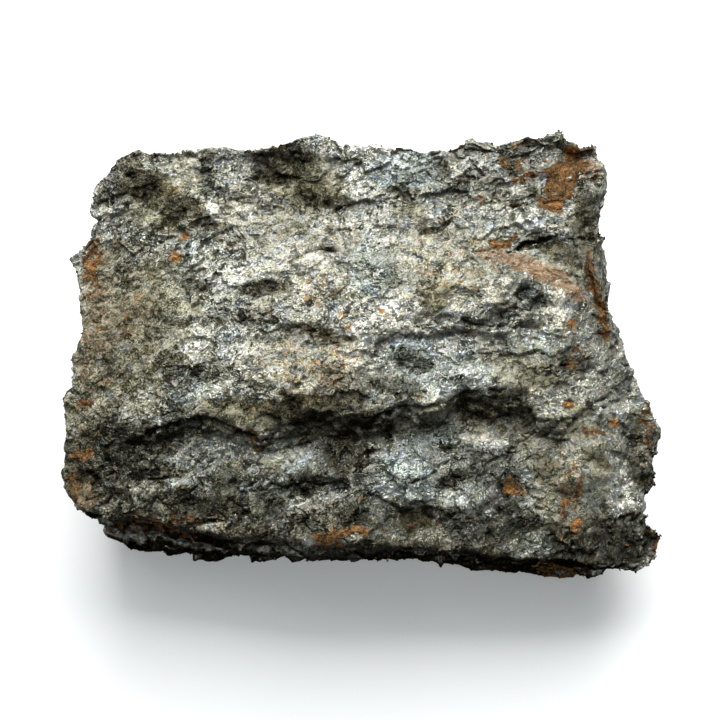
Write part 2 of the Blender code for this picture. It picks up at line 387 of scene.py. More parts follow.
def line_depth(points, pixels, half_width, depth):
    """One line's depth at every point, by the distance to it in plan."""
    line = [np.array(on_stone(p)) for p in pixels]
    nearest = np.full(len(points), FAR)
    for start, end in zip(line, line[1:]):
        run = end[:2] - start[:2]
        share = np.clip((points[:, :2] - start[:2]) @ run / (run @ run), 0, 1)
        gap = points[:, :2] - start[:2] - share[:, None] * run
        beside = np.hypot(gap[:, 0], gap[:, 1])
        beside[abs(points[:, 2] - start[2]) > LINE_HALF_HEIGHT] = FAR
        nearest = np.minimum(nearest, beside)
    return depth * eased(1.3 - nearest / half_width)


# %% [markdown]
# Two hollows that the solid cuts too deep
#
# In the photograph the slot and the pocket on the right are shaded, not black. A form pushed
# out along the surface would close their steep walls on each other. Here each point that lies
# below the hollow's far edge is raised straight up by a share of what it lacks.

# %% Fill the slot and the pocket
# Each: pixel on the far edge, (half length, half width) in mm, share filled, turn in degrees.
FILLS = {
    "slot": ((530, 230), (5.6, 4.4), 0.8, 9),
    "pocket": ((528, 284), (4.4, 3.6), 0.35, -10),
}
FILL_BELOW_EDGE = 0.3
FILL_EDGE = 0.6
points = points_of(mesh)
for pixel, half_sizes, share, turn in FILLS.values():
    level = on_stone(pixel)[2] - FILL_BELOW_EDGE
    inside = form_height(points, pixel, half_sizes, share, turn, FILL_EDGE)
    points[:, 2] += inside * np.maximum(level - points[:, 2], 0)
move_points(mesh, points)
print("filled:", list(FILLS))

# %% [markdown]
# The relief goes on
#
# The forms, the layers and the flats are added up and pushed out along the surface's own
# direction. A Displace modifier with textures could do the noise, but not the named forms,
# and one array holds both. The slabs, which broke clean, get less of it than the rest. The
# flat spot that the stone lies on stays flat.

# %% Push the skin out
# Slabs, each: pixel, (half length, half width) in mm, turn in degrees.
SLABS = {
    "plateau": ((375, 262), (31, 13), -2),
    "second step": ((265, 362), (15, 6), 4),
    "left part": ((130, 320), (11, 17), 0),
    "blue slab": ((408, 466), (5.4, 5.2), -15),
    "bright slab": ((501, 292), (4.2, 3.0), 12),
    "white boss": ((554, 320), (3.2, 5.0), 0),
    "right slope": ((455, 375), (12, 5), 10),
    "lower right": ((590, 480), (10, 11), 0),
    "rust corner": ((563, 180), (4.0, 9.0), 14),
    "pink band": ((530, 268), (11, 3.0), -24),
    "cream patch": ((181, 176), (3.6, 4.6), 0),
    "olive patch": ((437, 297), (3.2, 2.6), 10),
}
SMOOTHER_ON_SLABS = 0.6
# Bends of the pattern, each: how far, and over what size, in mm.
WARP = ((0.9, 3.5), (0.35, 1.3))
# Flats, each: share of the height, size in mm, seed. Slits: depth, size, stretch, share, seed.
FLAT_STRETCH = (1.1, 1.0, 0.9)
FINE_FLATS = ((0.19, 1.5, 5.0), (0.14, 0.75, 21.0))
COARSE_FLATS = ((0.24, 6.0, 61.0), (0.26, 3.1, 73.0))
SLITS = ((0.5, 2.6, (2.2, 1.0, 1.0), 0.2, 39.0), (0.3, 1.4, (1.8, 1.0, 1.0), 0.16, 51.0))
STEP_HEIGHT = 0.4
STEP_PITCH = 3.3
PLATE_CRYSTAL = 1.2
SIDE_SINK = 0.5
# The hidden sides, which have no named forms, get wide flats instead.
BROAD_SHARE = 0.22
BROAD_SIZE = 13.0
BROAD_STRETCH = (1.2, 1.2, 0.8)
# How much slits, lines and the low parts of the fine flats darken the material: painted
# shade in the hollows, over the shadow that the relief itself casts.
SLIT_PAINTED_SHADE = 1.3
LINE_PAINTED_SHADE = 0.8
FINE_PAINTED_SHADE = 1.5

points = points_of(mesh)
normals = vectors_of(mesh, "normal")
turned = along_grain(points)
warped = turned.copy()
for reach, size in WARP:
    bends = [noise_at(turned, (size, 0.7 * size, 0.7 * size), seed) for seed in (2, 14, 26)]
    warped += reach * np.stack(bends, 1)
bent = points + (warped - turned)
on_slabs = [form_height(bent, spot, half_sizes, 1.0, turn) for spot, half_sizes, turn in SLABS.values()]
rough = 1 - SMOOTHER_ON_SLABS * np.max(on_slabs, axis=0)
fine = sum(share * flats(warped, size, FLAT_STRETCH, seed) for share, size, seed in FINE_FLATS)
coarse = sum(share * flats(warped, size, FLAT_STRETCH, seed) for share, size, seed in COARSE_FLATS)
coarse += STEP_HEIGHT * small_steps(turned, STEP_PITCH, 11.0)
sunk = sum(depth * slits(warped, *slit) for depth, *slit in SLITS)
lines = sum(line_depth(bent, *line) for line in LINES.values())
height = sum(form_height(bent, *form) for form in FORMS.values())
angular = mosaic(bent, PLATE_CRYSTAL)
height += sum(form_height(angular, *plate, softness=PLATE_EDGE) for plate in PLATES.values())
hidden = eased((0.1 - normals @ np.array(-forward)) / 0.4)
height += hidden * BROAD_SHARE * flats(warped, BROAD_SIZE, BROAD_STRETCH, 87.0)
height += fine + rough * (coarse - sunk) - lines
height -= height.mean() + SIDE_SINK * (1 - abs(normals[:, 2]))
points += normals * height[:, None]
points[:, 2] = np.maximum(points[:, 2], 0)
move_points(mesh, points)
# Painted shade: the hollow amount darkens slits, cracks and the low spots of the fine flats.
shade = SLIT_PAINTED_SHADE * rough * sunk + LINE_PAINTED_SHADE * lines - FINE_PAINTED_SHADE * fine
keep(mesh, "hollow", np.clip(shade, 0, 1))
print("relief from", round(height.min(), 2), "to", round(height.max(), 2), "mm")

# %% [markdown]
# Fewer triangles, kept where they count
#
# The net is even, so it spends as much on a flat as on an edge. Decimating it by collapse
# keeps the edges and thins the flats, and its uneven triangles catch the light one by one,
# as grains do. The skin is therefore shaded flat.

# %% Thin the skin
MOST_TRIANGLES = 196000
triangles = sum(len(face.vertices) - 2 for face in mesh.polygons)
thin = skin.modifiers.new("thin", "DECIMATE")
thin.ratio = min(1.0, MOST_TRIANGLES / triangles)
mesh = settle(skin)
mesh.shade_flat()
print("skin:", triangles, "triangles thinned to", len(mesh.polygons))

# %% [markdown]
# Where the colours lie
#
# Colour could be painted by hand, but a list of named patches is easier to read and to
# change. A patch is an oval on the surface with a ragged edge, and each point of the skin
# keeps how much of each colour it has. The material then breaks these soft amounts up into
# grains. Behind and below, where the photograph doesn't look, noise spreads the same colours.
# Many dark patches are painted shade, and some bright ones painted highlight, beside the ore's own colours.

# %% Patches of colour
# For each colour: pixel, (half length, half width) in mm, strength, and a turn in degrees if any.
PATCHES = {
    "rust": [
        ((565, 168), (3.9, 3.4), 0.85), ((561, 188), (3.4, 3.2), 0.9, 20), ((551, 206), (2.8, 2.6), 0.95, 20),
        ((580, 150), (3, 2), 0.9, -10), ((590, 168), (1.5, 3.4), 0.55), ((514, 160), (2.4, 1.8), 0.6),
        ((524, 176), (2.4, 1), 0.6, 25), ((500, 243), (2.6, 1.2), 0.9), ((512, 238), (2, 0.8), 0.7, 20),
        ((92, 262), (2, 5), 0.7), ((97, 292), (1.6, 2.6), 0.6), ((84, 372), (1.6, 1.6), 0.6),
        ((85, 402), (1.6, 1.4), 0.6), ((82, 455), (3, 1.2), 0.7, -20), ((72, 490), (1.8, 4), 0.6, 10),
        ((340, 536), (5.2, 1.1), 1, 8), ((134, 532), (4.6, 0.9), 0.5), ((180, 529), (8, 0.8), 0.48, -6),
        ((600, 300), (1.5, 9), 0.9, 10), ((592, 268), (1.2, 5), 0.7), ((512, 488), (1.8, 1.6), 0.7),
        ((569, 500), (2.6, 6), 0.5), ((595, 432), (3, 1.2), 0.5), ((560, 572), (5, 1.4), 0.6),
        ((648, 425), (1.2, 5), 0.6), ((255, 440), (3, 0.8), 0.45, -30), ((572, 360), (1.4, 3), 0.5),
    ],
    "orange": [
        ((176, 256), (1.5, 1.3), 0.7, 20), ((184, 238), (0.8, 2.2), 0.7), ((281, 237), (0.9, 0.8), 0.65),
        ((378, 309), (0.8, 0.9), 0.6), ((348, 328), (1.6, 0.6), 0.7, 8), ((612, 423), (1.7, 0.7), 1, -10),
        ((568, 404), (0.8, 0.6), 1), ((509, 485), (1, 1), 0.8), ((567, 504), (0.8, 0.6), 0.9),
        ((575, 526), (1.4, 0.9), 0.9), ((564, 478), (1, 0.5), 0.7, 20), ((574, 146), (1.8, 1.2), 0.9),
        ((556, 206), (1.6, 1.4), 0.7, 30), ((568, 172), (2.2, 1.4), 0.45, 30),
        ((528, 171), (1.8, 0.4), 0.7, 30), ((500, 243), (1.4, 0.5), 0.6), ((345, 534), (3.4, 0.6), 0.8, 10),
        ((573, 325), (0.8, 0.7), 0.8), ((480, 200), (1.2, 0.9), 0.5), ((139, 297), (0.5, 1.3), 0.5, 20),
        ((125, 313), (1, 0.5), 0.5, 40), ((92, 262), (1, 2.4), 0.5), ((100, 330), (0.7, 0.9), 0.5),
    ],
    "ochre": [
        ((500, 255), (5, 1.8), 0.85, -12), ((530, 266), (6, 2.1), 0.9, -20),
        ((560, 280), (5, 2.2), 0.85, -28), ((579, 293), (2.2, 1.6), 0.7, -30), ((595, 170), (1, 3), 0.6),
        ((532, 174), (3, 0.7), 0.7, 28), ((128, 318), (5, 5), 0.3, 20), ((95, 320), (3, 9), 0.3),
        ((82, 500), (2.4, 4.4), 0.35),
    ],
    "fleck": [
        ((312, 362), (8, 5.4), 1), ((315, 288), (4.4, 3.4), 1, -20), ((345, 300), (6, 4), 0.6, -20),
        ((450, 262), (8, 7), 0.9, -15), ((470, 282), (1.6, 2.6), 1), ((440, 222), (5, 3.4), 0.6, 20),
        ((262, 308), (3, 1.4), 0.7), ((300, 235), (12, 8), 0.3), ((380, 320), (7, 3), 0.4),
        ((95, 330), (5, 20), 0.5), ((570, 345), (3, 6), 0.7), ((560, 490), (5, 8), 0.5),
    ],
    "cream": [
        ((181, 176), (3.8, 4.6), 1), ((262, 215), (12, 7), 0.5, 5), ((300, 362), (12, 7.5), 0.7, 5),
        ((300, 262), (12, 9), 0.4), ((440, 262), (12, 10), 0.5, -10), ((411, 211), (3, 1.8), 0.9),
        ((262, 306), (3, 1.4), 0.8), ((285, 462), (4, 2), 0.6, 12), ((554, 318), (2.6, 4.6), 0.5),
        ((501, 292), (3.6, 2.4), 0.6, 12),
    ],
    "olive": [
        ((150, 310), (10, 12), 0.75), ((128, 350), (10, 14), 0.6), ((90, 345), (6, 26), 0.7),
        ((80, 485), (4, 6), 0.9), ((437, 297), (3, 2.6), 1, 10), ((565, 440), (10, 5), 0.7, 20),
        ((228, 485), (3, 4), 0.7), ((575, 490), (8, 9), 0.7), ((415, 517), (3.6, 2.4), 0.9),
        ((240, 412), (10, 3.4), 0.9), ((320, 412), (12, 4), 0.6), ((470, 418), (14, 4), 0.6),
        ((160, 205), (9, 5.4), 0.9, -30), ((300, 180), (10, 5), 0.9, -20), ((560, 262), (6, 4), 0.6, -20),
        ((530, 365), (9, 5), 0.6), ((585, 245), (3, 10), 0.7),
    ],
    "blue": [
        ((405, 170), (8, 4.4), 0.9), ((208, 178), (1.6, 5), 0.8), ((190, 250), (1.4, 4), 0.7),
        ((408, 464), (5.2, 4.8), 1, -15), ((418, 494), (3.8, 2), 0.9), ((412, 355), (4.6, 3.4), 1, -10),
        ((440, 375), (10, 5), 0.6, 10), ((370, 270), (5, 7), 0.6), ((530, 296), (2.4, 2.4), 1),
        ((545, 345), (8, 2.4), 0.6), ((436, 435), (6, 2.2), 0.8, 10), ((592, 498), (2.4, 2.4), 0.9),
        ((540, 544), (3, 2.2), 0.8), ((300, 455), (10, 5), 0.3), ((190, 390), (4, 3), 0.6),
        ((190, 470), (28, 9), 0.5), ((330, 500), (22, 7), 0.45), ((490, 500), (16, 9), 0.4),
    ],
    # The bright patches are partly paler, fresh ore and partly painted highlight, where level faces, slabs
    # and bosses catch the light.
    "bright": [
        ((554, 318), (3.2, 5.4), 1), ((501, 292), (3.6, 2.4), 1, 12), ((557, 336), (3, 1.6), 1),
        ((194, 345), (3, 4.6), 0.7), ((181, 176), (3.6, 4.4), 0.7), ((297, 281), (1, 3), 1, 30),
        ((284, 466), (7, 3), 0.5, 12), ((486, 441), (4.6, 1.3), 0.9, -4), ((142, 491), (4, 1.8), 0.8),
        ((312, 503), (4.5, 1.6), 0.7, 10), ((274, 452), (4.4, 2.2), 0.7, 12), ((178, 478), (3, 1.4), 0.6, 30),
        ((213, 526), (4, 0.9), 0.9, 16), ((362, 487), (3, 1.6), 0.6, 20), ((448, 500), (3.6, 2.2), 0.4),
        ((430, 534), (3.6, 1.6), 0.5), ((533, 226), (5.2, 1.8), 0.7, -6), ((375, 158), (6.4, 3.6), 0.9),
        ((330, 148), (5, 1.6), 0.5), ((535, 225), (4, 2), 0.5), ((262, 368), (5, 2), 0.5, 10),
        ((450, 300), (5, 2.2), 0.4), ((548, 392), (3, 1.6), 0.4), ((230, 215), (5, 3), 0.5),
        ((255, 200), (4.4, 2.4), 0.3, 10), ((210, 205), (2, 2.6), 0.7), ((150, 218), (3, 1), 0.8, 20),
        ((640, 420), (3, 3), 0.4), ((345, 172), (5, 2.4), 0.4), ((350, 352), (4, 3), 0.8, 20),
        ((372, 325), (5, 3.4), 0.6), ((400, 306), (4.4, 2.4), 0.7), ((405, 462), (4.4, 4), 0.3, -15),
        ((240, 455), (4.4, 3), 0.5, -20), ((225, 440), (3.6, 1.8), 0.5, 20), ((400, 500), (4, 1.6), 0.4),
        ((300, 265), (8, 6), 0.35, 10), ((350, 285), (6, 4), 0.3), ((245, 275), (6, 3), 0.5, 10),
        ((540, 445), (5, 1.2), 0.5, 20), ((622, 497), (3, 4.6), 1), ((442, 396), (4, 2), 0.9, 20),
        ((474, 372), (2.6, 2.2), 0.8), ((262, 306), (2.8, 1.2), 0.7), ((540, 544), (3, 2), 0.5),
        ((436, 343), (6, 2.8), 0.6, 10), ((398, 332), (4, 2), 0.6, 10), ((470, 342), (4, 1.8), 0.5),
        ((508, 340), (4, 1.6), 0.6), ((548, 345), (3, 1.6), 0.6), ((590, 385), (3.4, 2.4), 0.5),
        ((262, 345), (5, 2.6), 0.35), ((545, 412), (4, 2), 0.4), ((600, 410), (6, 3), 0.4, 10),
    ],
    # The dark patches are partly dark ore and partly painted shade: ledge shadows, shaded grooves and
    # hollows, and a band along the front rim.
    "dark": [
        ((280, 165), (7, 3.4), 0.6, -6), ((207, 172), (1.8, 5), 0.7), ((178, 203), (6.6, 1.5), 0.7),
        ((400, 546), (12, 1.3), 0.8, 3), ((470, 553), (8, 1.3), 0.8, 4), ((300, 537), (7, 1.3), 0.6),
        ((565, 566), (8, 1.4), 0.7, 4), ((375, 515), (5, 3), 0.4), ((270, 415), (7, 3), 0.5, 10),
        ((395, 385), (7, 2), 0.6, -14), ((350, 382), (5, 1.6), 0.4, -10), ((195, 366), (7, 3), 0.3),
        ((312, 190), (8, 2.6), 0.5, -30), ((150, 190), (7, 3.4), 0.7, -30), ((178, 208), (6, 2.6), 0.7, -20),
        ((128, 163), (2.6, 2.4), 0.7), ((163, 224), (3.8, 1.2), 0.8, 24), ((212, 226), (3.8, 1.4), 0.7, -24),
        ((405, 192), (4, 1.2), 0.7, -14), ((443, 168), (1.2, 2.2), 0.6, 20), ((466, 178), (1.6, 2), 0.6),
        ((486, 186), (1.6, 2.2), 0.5, 30), ((512, 165), (2.2, 2.4), 0.6), ((530, 192), (2.6, 1.8), 0.6),
        ((266, 290), (5.2, 1.8), 0.7, 8), ((308, 328), (3, 1), 0.8, -12), ((336, 338), (3, 1), 0.9, -10),
        ((258, 321), (4, 0.9), 0.3), ((327, 231), (0.9, 0.9), 1), ((328, 249), (1.8, 0.6), 0.9, -6),
        ((437, 228), (2.8, 0.9), 0.7, 20), ((521, 249), (2.6, 0.6), 1, 10), ((550, 245), (3, 1), 0.8, 10),
        ((560, 250), (6, 2), 0.5, -24), ((532, 297), (2.6, 2.2), 0.5, -20), ((412, 362), (4, 2.2), 0.5, -10),
        ((474, 405), (4, 1.8), 0.6, -6), ((508, 421), (5, 2), 0.35), ((538, 376), (3.6, 2), 0.6),
        ((508, 392), (3.4, 1.4), 0.6), ((575, 362), (3, 2.6), 0.5), ((385, 420), (6, 2), 0.5, -6),
        ((268, 428), (5, 2.6), 0.5, -20), ((345, 400), (4.4, 2), 0.7, -10),
        ((437, 297), (2.8, 2.4), 0.35, 10), ((350, 455), (4.4, 4), 0.8), ((588, 215), (2.4, 8), 0.5),
        ((255, 425), (9, 4.6), 0.5, -10), ((315, 424), (10, 4), 0.5, 5), ((200, 426), (11, 1.6), 0.5, 8),
        ((330, 524), (14, 2.4), 0.7), ((190, 515), (18, 5), 0.8, -5), ((115, 460), (13, 8), 0.75),
        ((215, 470), (9, 5), 0.4), ((225, 520), (9, 2.4), 0.8), ((415, 518), (3.4, 2.2), 0.9),
        ((495, 470), (6, 3.4), 0.4), ((470, 530), (14, 2.6), 0.6), ((330, 488), (9, 5), 0.35),
        ((560, 540), (9, 3), 0.6), ((640, 450), (3, 7), 0.6), ((520, 530), (5, 2.6), 0.6, 10),
        ((615, 535), (5, 3), 0.6), ((98, 495), (4, 3), 0.6), ((265, 475), (3, 1.4), 0.6, 20),
        ((305, 480), (4, 1.6), 0.6), ((345, 482), (3, 2), 0.5), ((112, 176), (4, 7), 0.4),
        ((120, 320), (9, 20), 0.45), ((180, 370), (8, 4), 0.4), ((505, 196), (4, 2), 0.5, -30),
        ((330, 518), (8, 3.4), 0.8), ((85, 500), (4, 5), 0.6), ((440, 515), (4, 2), 0.5),
        ((396, 508), (2.4, 1.6), 0.6), ((455, 478), (3.6, 1.6), 0.6, 20), ((270, 500), (4, 2), 0.7, -20),
        ((300, 520), (6, 1.6), 0.7), ((170, 500), (5, 1.2), 0.8, -10), ((120, 480), (4, 1.4), 0.8, 30),
        ((600, 462), (3.4, 1.4), 0.5, -20), ((205, 318), (4, 1.4), 0.4), ((150, 350), (5, 8), 0.25),
        ((620, 550), (7, 2.6), 0.7, 10), ((505, 505), (3, 2.6), 0.6), ((548, 470), (3, 2.2), 0.5),
        ((352, 500), (3, 2.6), 0.5), ((250, 505), (3.6, 1.4), 0.5, 10), ((150, 460), (3, 2), 0.4),
        ((300, 405), (6, 2.6), 0.9, 10), ((245, 405), (5, 2.2), 0.5),
    ],
}
PATCH_HALF_HEIGHT = 9.0
PATCH_EDGE = 0.3
RAGGEDNESS = 0.35
RAGGED_SIZE = (2.6, 1.6, 1.8)
PATCH_CRYSTAL = 1.5
print("patches:", {colour: len(patches) for colour, patches in PATCHES.items()})

# %% How much of each colour lies where
# What the noise must pass to spread each colour where the photograph doesn't look.
SPREAD = {
    "rust": 0.72,
    "orange": 1.0,
    "ochre": 0.85,
    "fleck": 0.7,
    "cream": 0.75,
    "olive": 0.3,
    "blue": 0.6,
    "bright": 0.85,
    "dark": 0.1,
}
SPOT_SIZE = (11, 7, 8)
MOST_BEHIND = 0.8
# Painted shade on the steep faces that look to the front: where it ends, over what height it
# fades, and its least.
FRONT_SHADE_TOP = 30.0
FRONT_SHADE_FADE = 8.0
LEAST_FRONT_SHADE = 0.45
RUST_UNDER_FRONT_SHADE = 0.3


def patch_share(points, ragged, pixel, half_sizes, strength, turn=0):
    """How much one patch covers each point."""
    reach = oval_reach(points, pixel, half_sizes, turn, PATCH_HALF_HEIGHT) + RAGGEDNESS * ragged
    return strength * eased((1.15 - reach) / PATCH_EDGE)


def colour_amounts(points, normals):
    """How much of each colour lies at each point."""
    turned = along_grain(points)
    ragged = noise_at(turned, RAGGED_SIZE, 71.0)
    unseen = eased((0.25 - normals @ np.array(-forward)) / 0.3)
    in_crystals = mosaic(points, PATCH_CRYSTAL)
    # Painted shade: steep faces that look to the front are darkened, most of all low down, where the light
    # from behind doesn't reach.
    steep = eased((-normals[:, 1] - 0.3) / 0.3) * eased((0.75 - normals[:, 2]) / 0.25)
    low = eased((FRONT_SHADE_TOP - points[:, 2]) / FRONT_SHADE_FADE)
    painted_front_shade = steep * (LEAST_FRONT_SHADE + (1 - LEAST_FRONT_SHADE) * low)
    amounts = {}
    for number, (colour, least) in enumerate(SPREAD.items()):
        patches = [patch_share(in_crystals, ragged, *patch) for patch in PATCHES[colour]]
        spots = noise_at(turned, SPOT_SIZE, 83.0 + 9 * number) + 0.5 * ragged
        behind = unseen * eased((spots + 0.55 - least) / 0.5)
        if colour == "rust":
            behind *= 1 - (1 - RUST_UNDER_FRONT_SHADE) * painted_front_shade
        covered = np.maximum(np.max(patches, axis=0), MOST_BEHIND * behind)
        amounts[colour] = np.clip(covered, 0, 1)
    for colour in ("orange", "fleck", "ochre", "bright"):
        amounts[colour] *= 1 - painted_front_shade
    amounts["painted_front_shade"] = painted_front_shade
    return amounts


skin_points = points_of(mesh)
skin_normals = vectors_of(mesh, "normal")
skin_amounts = colour_amounts(skin_points, skin_normals)
for colour, amount in skin_amounts.items():
    keep(mesh, colour, amount)
    print(colour, "covers", round(100 * float((amount > 0.5).mean())), "% of the points")

# %% [markdown]
# Loose-looking grains
#
# Under a lens the break is a crust of crystals, each a flattened rhombic pyramid that sits
# half in its neighbours. The skin can't hold them one by one, so they are a piece of their
# own: one joined mesh, worked out with arrays, in which each crystal lies on a point of the
# skin, leans a little and is sunk to about its middle. Instances would be lighter, but an
# export would drop them.

# %% Crystal grains
# Sizes and depths in mm. The corners are shares of a crystal's size.
GRAINS = 24000
GRAIN_SIZE = (0.25, 0.46)
CRYSTAL_PAINTED_SHADE = 0.6
SUNK = 0.08
LEAN = 0.3
SIDE_CHANCE = 0.35
CLEAR_OF_FLOOR = 1.5
LOWEST_GRAIN = 0.05
EQUATOR = [(1, 0, 0), (-1, 0, 0), (0, 0.7, 0), (0, -0.7, 0)]
CORNERS = np.array(EQUATOR + [(0.2, 0.1, 0.38), (0, 0, -0.5)])
UPPER_SIDES = [(0, 2, 4), (2, 1, 4), (1, 3, 4), (3, 0, 4)]
LOWER_SIDES = [(2, 0, 5), (1, 2, 5), (3, 1, 5), (0, 3, 5)]
SIDES = np.array(UPPER_SIDES + LOWER_SIDES)


def crystals(spots, outwards, count, rng):
    """Corners and triangles of crystals on chosen spots of the skin."""
    chance = np.where(outwards[:, 2] > 0.3, 1.0, SIDE_CHANCE) * (spots[:, 2] > CLEAR_OF_FLOOR)
    chosen = rng.choice(len(spots), count, replace=False, p=chance / chance.sum())
    up = outwards[chosen] + rng.normal(0, LEAN, (count, 3))
    up /= np.linalg.norm(up, axis=1)[:, None]
    side = np.cross(up, rng.normal(size=(count, 3)))
    side /= np.linalg.norm(side, axis=1)[:, None]
    axes = np.stack([side, np.cross(up, side), up], 1)
    sizes = rng.uniform(*GRAIN_SIZE, (count, 1, 1)) * rng.uniform(0.8, 1.25, (count, 1, 3))
    corners = np.einsum("nkj,nji->nki", CORNERS * sizes, axes)
    corners += (spots[chosen] - SUNK * outwards[chosen])[:, None]
    triangles = SIDES + len(CORNERS) * np.arange(count)[:, None, None]
    return corners.reshape(-1, 3), triangles.reshape(-1, 3), np.repeat(chosen, len(CORNERS))


rng = np.random.default_rng(11)
grain_points, grain_triangles, grain_spots = crystals(skin_points, skin_normals, GRAINS, rng)
grain_points[:, 2] = np.maximum(grain_points[:, 2], LOWEST_GRAIN)
grain_mesh = bpy.data.meshes.new("crystal_grains")
grain_mesh.from_pydata((grain_points * MM).tolist(), [], grain_triangles.tolist())
grain_mesh.shade_flat()
# The crystals take a share of the skin's painted shade in its hollows.
skin_amounts["hollow"] = CRYSTAL_PAINTED_SHADE * values_of(mesh, "hollow")
for colour, amount in skin_amounts.items():
    keep(grain_mesh, colour, amount[grain_spots])
crystal_grains = bpy.data.objects.new("crystal_grains", grain_mesh)
scene.collection.objects.link(crystal_grains)
print("grains:", GRAINS, "crystals,", len(grain_triangles), "triangles")

# %% [markdown]
# Node groups
#
# A node group is a small machine with named inputs and outputs. The crystal grain is one:
# it divides space into cells, and gives each cell a lean and a chance of its own. A normal
# that leans cell by cell makes each grain flash or go dark by itself, which is what gives
# metallic ore its glitter.


# %% Helpers for nodes
def new_group(name, inputs, outputs):
    """A shader node group with the named sockets, and its input and output nodes."""
    tree = bpy.data.node_groups.new(name, "ShaderNodeTree")
    for title, kind in inputs.items():
        tree.interface.new_socket(title, in_out="INPUT", socket_type="NodeSocket" + kind)
    for title, kind in outputs.items():
        tree.interface.new_socket(title, in_out="OUTPUT", socket_type="NodeSocket" + kind)
    return tree, tree.nodes.new("NodeGroupInput"), tree.nodes.new("NodeGroupOutput")


def feed(tree, source, target):
    """Links a socket, or sets a plain value."""
    if isinstance(source, bpy.types.NodeSocket):
        tree.links.new(source, target)
    else:
        target.default_value = source


def add(tree, kind, inputs=None, **settings):
    """A new node with its settings, and with what feeds its inputs, by name or by number."""
    node = tree.nodes.new(kind)
    for name, value in settings.items():
        setattr(node, name, value)
    for title, source in (inputs or {}).items():
        feed(tree, source, node.inputs[title])
    return node


def math_node(tree, operation, *values, kind="ShaderNodeMath"):
    """A sum or the like, of sockets or plain values."""
    return add(tree, kind, dict(enumerate(values)), operation=operation).outputs[0]


def vector_node(tree, operation, *values):
    return math_node(tree, operation, *values, kind="ShaderNodeVectorMath")


def scaled(tree, vector, factor):
    inputs = {0: vector, "Scale": factor}
    return add(tree, "ShaderNodeVectorMath", inputs, operation="SCALE").outputs[0]


def mixed(tree, factor, first, second, blend="MIX"):
    """Mixes two colours."""
    inputs = {0: factor, 6: first, 7: second}
    return add(tree, "ShaderNodeMix", inputs, data_type="RGBA", blend_type=blend).outputs[2]


def spread(tree, value, low, high, to_low=0.0, to_high=1.0):
    """Maps a value from one span to another, and holds it there."""
    inputs = dict(enumerate((value, low, high, to_low, to_high)))
    return add(tree, "ShaderNodeMapRange", inputs).outputs[0]


def noise_node(tree, vector, scale, detail=3.0, roughness=0.55):
    inputs = {"Vector": vector, "Scale": scale, "Detail": detail, "Roughness": roughness}
    return add(tree, "ShaderNodeTexNoise", inputs).outputs[0]


# %% The grain group
grain, takes, gives = new_group(
    "crystal grain",
    {"Place": "Vector", "Normal": "Vector", "Grain size": "Float", "Lean": "Float"},
    {"Normal": "Vector", "Chance": "Float", "Second chance": "Float", "Joint": "Float"},
)
place = vector_node(grain, "DIVIDE", takes.outputs["Place"], takes.outputs["Grain size"])
cell_inputs = {"Vector": place, "Scale": 1.0}
cells = add(grain, "ShaderNodeTexVoronoi", cell_inputs)
edges = add(grain, "ShaderNodeTexVoronoi", cell_inputs, feature="DISTANCE_TO_EDGE")
centred = vector_node(grain, "SUBTRACT", cells.outputs["Color"], (0.5, 0.5, 0.5))
lean = scaled(grain, centred, takes.outputs["Lean"])
leaning = vector_node(grain, "ADD", takes.outputs["Normal"], lean)
feed(grain, vector_node(grain, "NORMALIZE", leaning), gives.inputs["Normal"])
parts = add(grain, "ShaderNodeSeparateXYZ", {0: cells.outputs["Color"]})
feed(grain, parts.outputs[0], gives.inputs["Chance"])
feed(grain, parts.outputs[1], gives.inputs["Second chance"])
feed(grain, spread(grain, edges.outputs["Distance"], 0.0, 0.09), gives.inputs["Joint"])
print("group:", grain.name)

# %% [markdown]
# The ore's colours
#
# Silver where it is fresh, tinted by a thin film, and rust or clay where the weather has
# been: each colour comes in whole grains, so the soft amounts that the skin carries are
# compared with each grain's own chance before they are used. The group also says how much
# of the surface is bare metal, and how rough it is, because rust and clay are neither shiny
# nor metal.


# %% The group of ore colours
def amount_of(tree, colour):
    """The amount that the mesh's points carry of a colour."""
    node = add(tree, "ShaderNodeAttribute", attribute_name=colour)
    return node.outputs["Fac"]


def in_grains(tree, amount, chance, softness=0.25):
    """Turns a soft amount into grains that have the colour or not."""
    short = math_node(tree, "SUBTRACT", amount, chance)
    return spread(tree, short, -softness, softness)


def ramp_node(tree, value, stops):
    """Colours along a value, from a list of places and colours."""
    node = add(tree, "ShaderNodeValToRGB", {0: value})
    ends = node.color_ramp.elements
    ends[0].position, ends[0].color = stops[0]
    ends[1].position, ends[1].color = stops[-1]
    for position, tone in stops[1:-1]:
        ends.new(position).color = tone
    return node.outputs["Color"]


SILVERS = [
    (0.0, (0.012, 0.012, 0.010, 1)),
    (0.22, (0.10, 0.10, 0.084, 1)),
    (0.5, (0.43, 0.435, 0.395, 1)),
    (0.85, (0.86, 0.86, 0.83, 1)),
]
RUSTS = [
    (0.3, (0.03, 0.022, 0.013, 1)),
    (0.5, (0.13, 0.074, 0.032, 1)),
    (0.72, (0.36, 0.18, 0.065, 1)),
]
ORANGES = [(0.3, (0.15, 0.08, 0.036, 1)), (0.7, (0.60, 0.30, 0.10, 1))]
OCHRES = [(0.26, 0.155, 0.08, 1), (0.50, 0.33, 0.19, 1)]
FLECK = (0.44, 0.26, 0.12, 1)
WARM_FILM = (1.0, 0.79, 0.54, 1)
FILMS = [
    (0.0, (0.80, 0.90, 1.0, 1)),
    (0.25, (1.0, 1.0, 1.0, 1)),
    (0.5, (0.98, 0.98, 0.89, 1)),
    (0.75, (0.91, 0.93, 0.84, 1)),
    (1.0, (1.0, 0.95, 0.92, 1)),
]
TINTS = {
    "cream": (1.0, 0.94, 0.80, 1),
    "olive": (0.83, 0.78, 0.60, 1),
    "blue": (0.78, 0.89, 1.0, 1),
}
